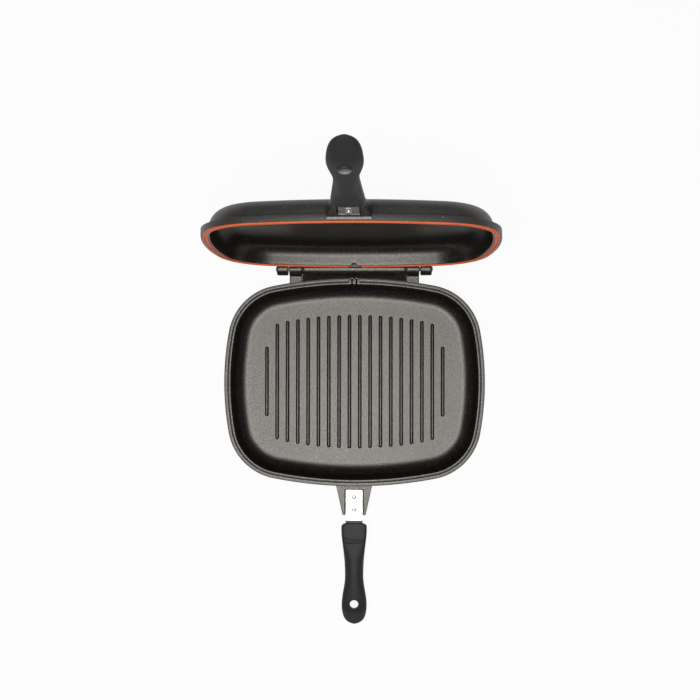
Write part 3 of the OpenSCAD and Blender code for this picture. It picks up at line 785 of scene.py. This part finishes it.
class FLIPPAN_OT_lid(bpy.types.Operator):
    """Build the lid half: rim, seal channel, walls, hinge bar, outer barrels and bracket"""
    bl_idname = "flippan.lid"
    bl_label = "Lid half"

    def execute(self, context):
        s, line = context.scene.pan_sizes, Outline(context.scene.pan_sizes)
        coat, place = finish(coat_finish), lid_place(s)
        self.pan(s, line, [coat, finish(enamel_finish)], place)
        for side, name in ((-1, "left"), (1, "right")):
            self.knuckle(s, line, coat, place, side, name)
        self.hinge_bar(s, line, coat, place)

        bracket = casting("lid_bracket", bracket_forms(line, root_in=9.5), [coat], over(place), rounds=3)
        ride_on(bracket, "lid", "coated_cast", "lid_pan")
        ledge_in, ledge_out, ledge_top, ledge_slope = line.half_l - 1.8, line.half_l + 0.9, 4.4, 0.24
        ledge = prism([(-22.8, 1.15), (22.8, 1.15), (21.2, ledge_top), (-21.2, ledge_top)], ledge_in, ledge_out,
                      lambda x, y, h: (x, ((ledge_top - y) * ledge_slope if h > line.half_l else 0.0) - h, y))
        ledge = casting("lid_bracket_land", [ledge], [coat], place, grid=0.3, rounds=2)
        ride_on(ledge, "lid", "coated_cast", "lid_pan")
        return {"FINISHED"}

    @staticmethod
    def pan(s, line, finishes, place):
        """Flange with the seal channel and the vent arch, walls and top"""
        up = s.rim_gap / 2
        inside = [(m, s.lid_inside - h) for m, h in
                  wall_arc(s, s.lid_inner_edge, s.lid_inside, 0.0, s.inner_fillet, 14)]
        outside = [(m, s.lid_depth - h) for m, h in
                   reversed(wall_arc(s, s.lid_step, s.lid_depth - s.rim_height, 0.0, s.outer_fillet, 12))]
        seal_start, seal_end, channel_deep, land = 2.0, 8.1, 2.0, 0.2
        vent_radius, vent_drop = 3.6, 0.8

        def section(x):
            arch = 0.0
            if x is not None and abs(x) < vent_radius:
                arch = math.sqrt(vent_radius ** 2 - x * x) - vent_drop
            low, deep = max(land, arch), max(channel_deep, arch)
            rim = soften([inside[0], (s.lid_inner_edge + 0.54, 4.3), (s.lid_inner_edge, low), (seal_end, low),
                          (seal_end, deep), (seal_start, deep), (seal_start, 0.0), (0, 0.0), (0, s.rim_height),
                          (s.lid_step, s.rim_height), outside[-1]],
                         [0, 0, 0.9, 0.15, 0.2, 0.2, 0.2, 0.45, 0.6, 1.6, 0], 3)
            path = [(FLAT_INSET, s.lid_inside)] + list(reversed(inside[1:])) + rim \
                + list(reversed(outside[:-1])) + [(FLAT_INSET, s.lid_depth)]
            return [(m, h + up) for m, h in path]

        middle = [0.9, 1.8, 2.6, 3.2, 3.5, 3.59, 6.3, 9.0]
        turn_over = len(inside) + 21
        pan = shell("lid_pan_shell", sweep(line.steps(middle), section), turn_over, finishes, place)
        ride_on(pan, "lid", "coated_cast", "lid_pan")

    @staticmethod
    def knuckle(s, line, coat, place, side, name):
        """An outer knuckle: barrel with a chamfered end, and its arm to the flange"""
        a, b, r, chamfer_long, chamfer_deep = s.knuckle_inner, s.knuckle_outer, s.barrel_radius, 1.6, 0.9
        axis_y, arm_end = line.half_l + s.hinge_back, b - 3.2
        barrel = turned_form([(0, a + SOFT), (r - SOFT, a + SOFT), (r - SOFT, b - chamfer_long),
                              (r - chamfer_deep, b - SOFT), (0, b - SOFT)], BARREL_SIDES, along_hinge(s, side))
        arm = prism([(side * x, y) for x, y in [(a + 0.2, line.rim_y(a) - 1.5), (arm_end, line.rim_y(b - 3) - 1.5),
                                                (arm_end, axis_y), (a + 0.2, axis_y)]], 0.8, s.rim_height + 0.4)
        knuckle = casting("lid_knuckle_" + name, [barrel, arm], [coat], place, rounds=4)
        seat = b - 2.45
        drill(s, knuckle, side, place, [(0, a - 1), (s.lid_bore, a - 1), (s.lid_bore, seat), (s.plug_bore, seat),
                                        (s.plug_bore, b + 1), (0, b + 1)])
        shaded(knuckle.data, 40)
        ride_on(knuckle, "lid", "coated_cast", "lid_pan")

    @staticmethod
    def hinge_bar(s, line, coat, place):
        """Middle bar: barrel, the web to the flange, and the lobe that stops against the base rim when open"""
        end, r, turn = s.bar_half, s.barrel_radius, math.radians(s.open_angle)
        axis_y, arc_steps, pin_end = line.half_l + s.hinge_back, 24, end - 12.05

        def arc_form(ring, back):
            """A closed ring (distance out from the rim, height) carried along the rear rim line. With back it is
            given as it lies when the lid is open"""
            points, faces, n, half = [], [], len(ring), end - 0.2
            for i in range(arc_steps + 1):
                a = math.acos((half - 2 * half * i / arc_steps) / s.front_radius)
                for q, h in ring:
                    x = (s.front_radius + q) * math.cos(a)
                    y = line.front_cy + (s.front_radius + q) * math.sin(a)
                    if back:
                        dy, c, w = y - axis_y, math.cos(turn), math.sin(turn)
                        y, h = axis_y + dy * c - h * w, dy * w + h * c
                    points.append((x, y, h))
            for i in range(arc_steps):
                for k in range(n):
                    a, b = i * n + k, i * n + (k + 1) % n
                    faces.append((a, b, b + n, a + n))
            faces += [tuple(reversed(range(n))), tuple(range(arc_steps * n, arc_steps * n + n))]
            return points, faces

        barrel = turned_form([(0, SOFT - end), (r - SOFT, SOFT - end), (r - SOFT, end - SOFT), (0, end - SOFT)],
                             BARREL_SIDES, along_hinge(s))
        web = arc_form([(-1.5, 0.8), (10.4, 0.8), (10.4, s.rim_height + 0.4), (-1.5, s.rim_height + 0.4)], False)
        lobe = arc_form([(0.3, -1.0), (7.5, 4.3), (9, 4.3), (9, -6), (3, -6.7), (0.3, -6.7)], True)
        bar = casting("lid_hinge_bar", [barrel, web, lobe], [coat], place, grid=0.6, rounds=4)
        for side in (-1, 1):
            drill(s, bar, side, place, [(0, pin_end), (s.lid_bore, pin_end), (s.lid_bore, end + 1), (0, end + 1)])
        shaded(bar.data, 40)
        ride_on(bar, "lid", "coated_cast", "lid_pan")


class FLIPPAN_OT_seal(bpy.types.Operator):
    """Build the silicone seal with its two lips and the groove between them"""
    bl_idname = "flippan.seal"
    bl_label = "Seal"

    def execute(self, context):
        s, line = context.scene.pan_sizes, Outline(context.scene.pan_sizes)
        up, start, wide, lip = s.rim_gap / 2, 2.06, s.seal_width, 1.0
        half = [(start, 1.9), (start, 0.35), (start + 0.3, 0.1), (start + 0.5, 0.35 - lip), (start + 0.9, -lip),
                (start + 1.6, -lip), (start + 2.0, 0.4 - lip), (start + 2.35, 0.3)]
        ring = half + [(2 * start + wide - m, h) for m, h in reversed(half)]
        rounding = [0, 0.2, 0.2, 0.35, 0.4, 0.4, 0.35, 0.25]
        path = [(m, h + up) for m, h in soften(ring, rounding + rounding[::-1], 2)]
        steps = line.steps([6.3, 9.0])[1:-1]                # the ring is open at the vent
        points, faces, _, rings = sweep(steps, lambda x: path, closed=False)
        faces += [(r[-1], r[0], q[0], q[-1]) for r, q in zip(rings, rings[1:])]
        faces += [tuple(rings[0]), tuple(rings[-1])]
        seal = make("lid_seal_ring", points, faces, [finish(seal_finish)], None, lid_place(s), angle=50)
        ride_on(seal, "lid", "seal_rubber", "lid_seal")
        return {"FINISHED"}


# ---- handles ----

class GripCurve:
    """The grip's shape along its length: d is the distance out from the rim edge"""

    def __init__(self, g):
        self.g = g
        self.bend_start, self.hole_at, self.bend_end = 62.0, 146.0, 160.0
        self.bend_one, self.bend_two = 608.0, 28.0          # radii of the gentle bend and of the turned-up end
        self.waist_at, self.bulb_at, self.face_lift = 112.0, 150.0, 2.2
        self.shoulder, self.blunt = 4.0, 9.0                # length of the front shoulders, width between them
        self.taper_start, self.taper_power = 55.0, 0.74
        self.tip_power, self.tip_least = 2.8, 0.012         # how square the far end is, and how blunt
        self.front_long, self.front_deep = 3.5, 3.0         # rounding of the front end from the side
        self.lean_hole = math.asin((self.hole_at - self.bend_start) / self.bend_one)
        self.lift_hole = self.face_lift + self.bend_one * (1 - math.cos(self.lean_hole))
        self.lean_tip = math.asin(math.sin(self.lean_hole) + (self.bend_end - self.hole_at) / self.bend_two)
        self.lift_tip = self.lift_hole + self.bend_two * (math.cos(self.lean_hole) - math.cos(self.lean_tip))

    def lean(self, d):
        """How far the mating face leans away from the hinge plane"""
        if d <= self.bend_start:
            return 0.0
        if d <= self.hole_at:
            return math.asin((d - self.bend_start) / self.bend_one)
        if d <= self.bend_end:
            return math.asin(math.sin(self.lean_hole) + (d - self.hole_at) / self.bend_two)
        return self.lean_tip

    def lift(self, d):
        """How far the mating face stands off the hinge plane"""
        if d <= self.bend_start:
            return self.face_lift
        if d <= self.hole_at:
            return self.face_lift + self.bend_one * (1 - math.cos(self.lean(d)))
        if d <= self.bend_end:
            return self.lift_hole + self.bend_two * (math.cos(self.lean_hole) - math.cos(self.lean(d)))
        return self.lift_tip + (d - self.bend_end) * math.tan(self.lean_tip)

    @staticmethod
    def ease(t):
        return (1 - math.cos(math.pi * t)) / 2

    def blend(self, d, near, far, one, other):
        """Eases from one value to the other between the distances near and far"""
        return one + (other - one) * self.ease(min(1.0, max(0.0, (d - near) / (far - near))))

    def past_bulb(self, d):
        """0 up to the bulb's widest place, 1 at the end"""
        return max(0.0, (d - self.bulb_at) / (self.g.grip_end - self.bulb_at))

    def width(self, d):
        g = self.g
        t = max(0.0, min(1.0, (d - g.grip_start) / self.shoulder))
        shoulder = math.sqrt(max(0.0, 1 - (1 - t) ** 2))
        if d < self.waist_at:
            share = max(0.0, (d - self.taper_start) / (self.waist_at - self.taper_start)) ** self.taper_power
            body = g.root_width + (g.waist_width - g.root_width) * self.ease(share)
        else:
            body = self.blend(d, self.waist_at, self.bulb_at, g.waist_width, g.bulb_width)
        u = self.past_bulb(d)
        tip = max(self.tip_least, 1 - u ** self.tip_power) ** (1 / self.tip_power) if u > 0 else 1.0
        return ((body - self.blunt) * shoulder + self.blunt) * tip

    def thick(self, d):
        g = self.g
        t = min(1.0, max(0.0, (d - g.grip_start) / self.front_long))
        if d < self.bulb_at:
            body = self.blend(d, g.grip_start, self.bulb_at, g.root_thick, g.bulb_thick)
        else:
            body = g.bulb_thick - (g.bulb_thick - g.tip_thick) * self.past_bulb(d)
        return body - self.front_deep * (1 - math.sqrt(1 - (1 - t) ** 2))

    def roundness(self, d):
        """Depth of the widest line, as a share of the thickness, and the powers of the mating side and the back"""
        mating = self.blend(d, 62, 95, 4.6, 2.0) + self.blend(d, 160, 172, 0.0, 1.2)
        back = self.blend(d, 60, 105, 2.6, 5.5) - self.blend(d, 138, 162, 0.0, 3.0)
        return self.blend(d, 58, 104, 0.26, 0.62), 2 / mating, 2 / back

    def ridge(self, x, d):
        """Two shallow curved thumb ridges that cross"""
        high, half_wide, reach = 0.0, 0.8, 15.0
        for start, dip, slant in ((61.8, 3.8, 1.2), (65.4, 3.8, -1.2)):
            middle = start + dip * (1 - (x / reach) ** 2) + slant * x / reach
            high = max(high, math.exp(-((d - middle) / half_wide) ** 2))
        return self.g.thumb_ridge * high


def grip_form(curve, half_l):
    """Rings of points along the curve of the mating face, and the two end caps"""
    g, around, places = curve.g, 64, []
    d = g.grip_start
    while d < g.grip_end - 0.02:
        places.append(d)
        near_end = min(d - g.grip_start, g.grip_end - d)
        d += 0.45 if 57 < d < 74 else max(0.12, min(1.5, 0.1 + near_end * 0.22))    # finer at the ridges and ends
    places.append(g.grip_end)
    points, faces = [], []

    def power(v, e):
        return math.copysign(abs(v) ** e, v)

    for d in places:
        w, t, lean, lift = curve.width(d) / 2, curve.thick(d), curve.lean(d), curve.lift(d)
        share, mating, back = curve.roundness(d)
        q, ridge_half = t * share, w - 0.5
        for k in range(around):
            a = 2 * math.pi * (k + 0.5) / around
            top = math.sin(a) > 0
            e = mating if top else back
            x = w * power(math.cos(a), e)
            h = q - q * math.sin(a) ** e if top else q + (t - q) * (-math.sin(a)) ** e
            if top and h < 0.6 and 55 < d < 76 and abs(x) < ridge_half:
                h -= curve.ridge(x, d) * (1 - (abs(x) / ridge_half) ** 8)
            points.append((x, -half_l - d + h * math.sin(lean), -lift - h * math.cos(lean)))
    last = (len(places) - 1) * around
    for ring in range(0, last, around):
        for k in range(around):
            a, b = ring + k, ring + (k + 1) % around
            faces.append((a, b, b + around, a + around))
    faces += [tuple(reversed(range(around))), tuple(range(last, last + around))]
    return points, faces


class Handle:
    """One grip with its plate, rivets and collar, in the place of its half"""

    def __init__(self, s, g, body, place):
        self.g, self.body, self.place, self.half_l = g, body, place, s.pan_length / 2
        self.plate_end = g.grip_start - g.neck_length

    def out(self, pairs):
        """Turns (x, distance out from the rim edge) into (x, y)"""
        return [(x, -self.half_l - d) for x, d in pairs]

    def grip(self):
        # the lining's grey is painted shade: it stands in for the shaded backdrop seen through the hanging hole
        g, half_l, black, shade_lining = self.g, self.half_l, finish(grip_finish), finish(hole_shade_finish)
        curve, r = GripCurve(g), g.hang_radius
        points, faces = grip_form(curve, half_l)
        grip = make(self.body + "_grip_moulding", points, faces, [black, shade_lining], None, self.place)
        hole = Vector((0, -half_l - curve.hole_at, -curve.lift_hole))
        tilt = Matrix.Rotation(curve.lean_hole, 3, "X")
        through = lambda x, y, h: tuple(hole + tilt @ Vector((x, y, h)))
        bead = [(0, -3.0), (r + 2.4, -3.0), (r + 2.3, -0.3), (r + 1.9, 0.25), (r + 1.2, 0.55), (r + 0.5, 0.5),
                (0, 0.5)]
        cut(grip, make("bead", *turned_form(bead, 56, through), [black], None, self.place), "UNION")
        bore = [(0, 1.4), (r + 0.9, 1.4), (r + 0.7, 0.7), (r + 0.3, 0.2), (r, -0.5), (r, -2.4), (r + 1.7, -6.6),
                (r + 6.3, -18), (0, -18)]
        # the lined bands carry painted shade, a grey that stands in for the shaded backdrop seen through the hole
        marks = [mark for mark in [0, 0, 0, 1, 1, 1, 0, 0] for _ in range(56)]      # only the sleeve is lined
        cut(grip, make("bore", *turned_form(bore, 56, through), [black, shade_lining], marks, self.place))
        well = [(0, -30), (3.6, -30), (3.6, -15), (0, -15)]                         # the screw's well in the back
        cut(grip, make("well", *turned_form(well, 40, lambda x, y, h: (x, y - half_l - 88, h)), [black], None,
                       self.place))
        shaded(grip.data, 42)
        ride_on(grip, self.body, "grip_plastic", self.body + "_grip")

    def block(self, name, pairs, low, high, look, edge):
        """A flat block with bevelled edges"""
        piece = make(self.body + name, *prism(self.out(pairs), low, high), [look], None, self.place)
        bevel = piece.modifiers.new("edge", "BEVEL")
        bevel.width, bevel.segments, bevel.limit_method = edge * MM, 3, "ANGLE"
        settle(piece)
        shaded(piece.data, 50)
        weigh(piece)
        return piece

    def plate(self):
        g, start, tongue_end = self.g, 5, 98
        wide, tongue, end = g.plate_width / 2, g.tongue_width / 2, self.plate_end
        half = [(wide, start), (wide, end), (tongue, end), (tongue, tongue_end)]
        pairs = [(-x, d) for x, d in half] + half[::-1]
        plate = self.block("_plate", pairs, -g.plate_drop - g.plate_thick, -g.plate_drop, finish(plate_finish), 0.35)
        ride_on(plate, self.body, "steel", self.body + "_tang")

    def rivets(self):
        """Domed heads on a straight collar, shanks, and the flat heads behind the bracket"""
        g, collar = self.g, 0.55
        dome, r = g.rivet_height - collar, g.rivet_radius
        profile = [(0, g.rivet_height)]
        profile += [(r * math.sin(turn), collar + dome * math.cos(turn))
                    for turn in (math.radians(t) for t in range(15, 91, 15))]
        profile += [(r, 0.0), (1.9, 0.0), (1.9, -10.0), (3.6, -10.0), (3.55, -10.3), (3.1, -10.75), (2, -11.1),
                    (0, -11.2)]
        heads = []
        for i in range(2):
            y = -self.half_l - g.rivet_start - i * g.rivet_pitch
            heads.append(turned_form(profile, 32, lambda a, b, h, y=y: (a, y + b, h - g.plate_drop)))
        points, faces = join_forms(heads)
        rivets = make(self.body + "_rivet_heads", points, faces, [finish(rivet_finish)], None, self.place)
        ride_on(rivets, self.body, "steel", self.body + "_rivets")

    def neck(self):
        g, gap, wide = self.g, 0.02, self.g.neck_width / 2
        near, far = self.plate_end + gap, g.grip_start - gap
        pairs = [(-wide, near), (-wide, far), (wide, far), (wide, near)]
        neck = self.block("_neck", pairs, -g.plate_drop - g.plate_thick - 1.6, 1.4 - g.plate_drop,
                          finish(neck_finish), 0.4)
        ride_on(neck, self.body, "grip_plastic", self.body + "_ferrule")


class FLIPPAN_OT_handles(bpy.types.Operator):
    """Build both handles: grip, plate, rivet heads and collar"""
    bl_idname = "flippan.handles"
    bl_label = "Handles"

    def execute(self, context):
        s, g = context.scene.pan_sizes, context.scene.grip_sizes
        for body, place in (("base", from_axis(s)), ("lid", over(lid_place(s)))):
            handle = Handle(s, g, body, place)
            handle.grip()
            handle.plate()
            handle.rivets()
            handle.neck()
        return {"FINISHED"}


class FLIPPAN_OT_fittings(bpy.types.Operator):
    """Finish the pins, spacers, plugs, magnets and grip screws, whose solids stay as they are"""
    bl_idname = "flippan.fittings"
    bl_label = "Fittings"

    def execute(self, context):
        drawn, nylon = finish(pin_finish), finish(spacer_finish)
        for name in ("base_magnet", "lid_magnet", "base_grip_screw", "lid_grip_screw", "hinge_pin_left",
                     "hinge_pin_right"):
            self.wear(name, drawn)
        for name in ("hinge_spacer_left", "hinge_spacer_right", "hinge_plug_left", "hinge_plug_right"):
            self.wear(name, nylon)
        return {"FINISHED"}

    @staticmethod
    def wear(name, material):
        for place in NODES[name].material_slots:
            place.material = material


# ---- floor, light and camera ----

def lamp(name, power, size, where):
    """A round lamp that hangs straight over a place and shines down"""
    light = bpy.data.lights.new(name, "AREA")
    light.shape, light.size, light.energy = "DISK", size, power
    made = bpy.data.objects.new(name, light)
    made.location = where
    bpy.context.scene.collection.objects.link(made)


class FLIPPAN_OT_stage(bpy.types.Operator):
    """Build the pale floor, the soft light from above and the camera"""
    bl_idname = "flippan.stage"
    bl_label = "Stage"

    def execute(self, context):
        scene = context.scene
        scene.view_settings.view_transform = "Standard"
        self.floor()
        self.world(scene)
        lamp("softbox", 18.4, 1.7, (-0.04, -0.12, 1.9))
        lamp("softbox_heart", 10.4, 0.9, (-0.09, -0.17, 1.89))
        self.camera(scene)
        return {"FINISHED"}

    @staticmethod
    def floor():
        """Pale floor that looks white to the camera and in reflections, and keeps part of the shadow"""
        f = Finish("pale_floor")
        seen = f.ray("Is Camera Ray") + f.ray("Is Glossy Ray") + f.ray("Is Transmission Ray")
        plain = f.node("ShaderNodeBsdfDiffuse", {}, {"Color": (0.95, 0.95, 0.95, 1.0)})
        white = f.node("ShaderNodeEmission", {}, {"Color": (1, 1, 1, 1), "Strength": 1.0})
        share = f.node("ShaderNodeMath", {"operation": "MINIMUM"}, {0: seen, 1: 1.0}) * 0.93
        f.show(f.blend(share, plain, white))
        big, drop = 6000.0, 0.3
        floor = make("floor", [(-big, -big, -drop), (big, -big, -drop), (big, big, -drop), (-big, big, -drop)],
                     [(0, 1, 2, 3)], [f.owner])

    @staticmethod
    def world(scene):
        """Faint fill light, and a pale backdrop beyond the floor"""
        f = Finish("studio", world=True)
        seen = f.node("ShaderNodeMath", {"operation": "MAXIMUM"},
                      {0: f.ray("Is Camera Ray"), 1: f.ray("Is Transmission Ray")})
        fill = f.node("ShaderNodeBackground", {}, {"Color": (0.95, 0.97, 1.0, 1.0), "Strength": 0.08})
        pale = f.node("ShaderNodeBackground", {}, {"Color": (0.8, 0.8, 0.8, 1.0), "Strength": 1.0})
        f.show(f.blend(seen, fill, pale))
        scene.world = f.owner

    @staticmethod
    def camera(scene):
        """The view of the photo: it looks almost straight down"""
        lens = bpy.data.cameras.new("camera")
        lens.sensor_width, lens.lens = 36.0, 50.395
        lens.clip_start, lens.clip_end = 0.05, 50.0
        made = bpy.data.objects.new("camera", lens)
        roll, swing, nod = (Matrix.Rotation(math.radians(turn), 3, axis)
                            for turn, axis in ((-0.049, "Z"), (-1.330, "Y"), (-0.750, "X")))
        look = roll @ swing @ nod
        made.matrix_world = Matrix.Translation((0.022773, 0.023585, 1.236065)) @ look.transposed().to_4x4()
        scene.collection.objects.link(made)
        scene.camera = made


class FLIPPAN_PT_panel(bpy.types.Panel):
    """Lists the pieces of the pan"""
    bl_label = "Flip pan"
    bl_idname = "FLIPPAN_PT_panel"
    bl_space_type = "VIEW_3D"
    bl_region_type = "UI"
    bl_category = "Flip pan"

    def draw(self, context):
        for group in (context.scene.pan_sizes, context.scene.grip_sizes, context.scene.pan_colours):
            for key in group.__annotations__:
                self.layout.prop(group, key)
        for step in STEPS:
            self.layout.operator(step.bl_idname)


STEPS = (FLIPPAN_OT_stage, FLIPPAN_OT_base, FLIPPAN_OT_lid, FLIPPAN_OT_seal, FLIPPAN_OT_handles, FLIPPAN_OT_fittings)
GROUPS = (("pan_sizes", PanSizes), ("grip_sizes", GripSizes), ("pan_colours", PanColours))


def register():
    for name, group in GROUPS:
        bpy.utils.register_class(group)
        setattr(bpy.types.Scene, name, PointerProperty(type=group))
    for step in STEPS:
        bpy.utils.register_class(step)
    bpy.utils.register_class(FLIPPAN_PT_panel)


def unregister():
    bpy.utils.unregister_class(FLIPPAN_PT_panel)
    for step in reversed(STEPS):
        bpy.utils.unregister_class(step)
    for name, group in reversed(GROUPS):
        delattr(bpy.types.Scene, name)
        bpy.utils.unregister_class(group)


def main():
    register()
    bpy.ops.flippan.stage()
    bpy.ops.flippan.base()
    bpy.ops.flippan.lid()
    bpy.ops.flippan.seal()
    bpy.ops.flippan.handles()
    bpy.ops.flippan.fittings()
    bpy.context.view_layer.update()


if __name__ == "__main__":
    main()
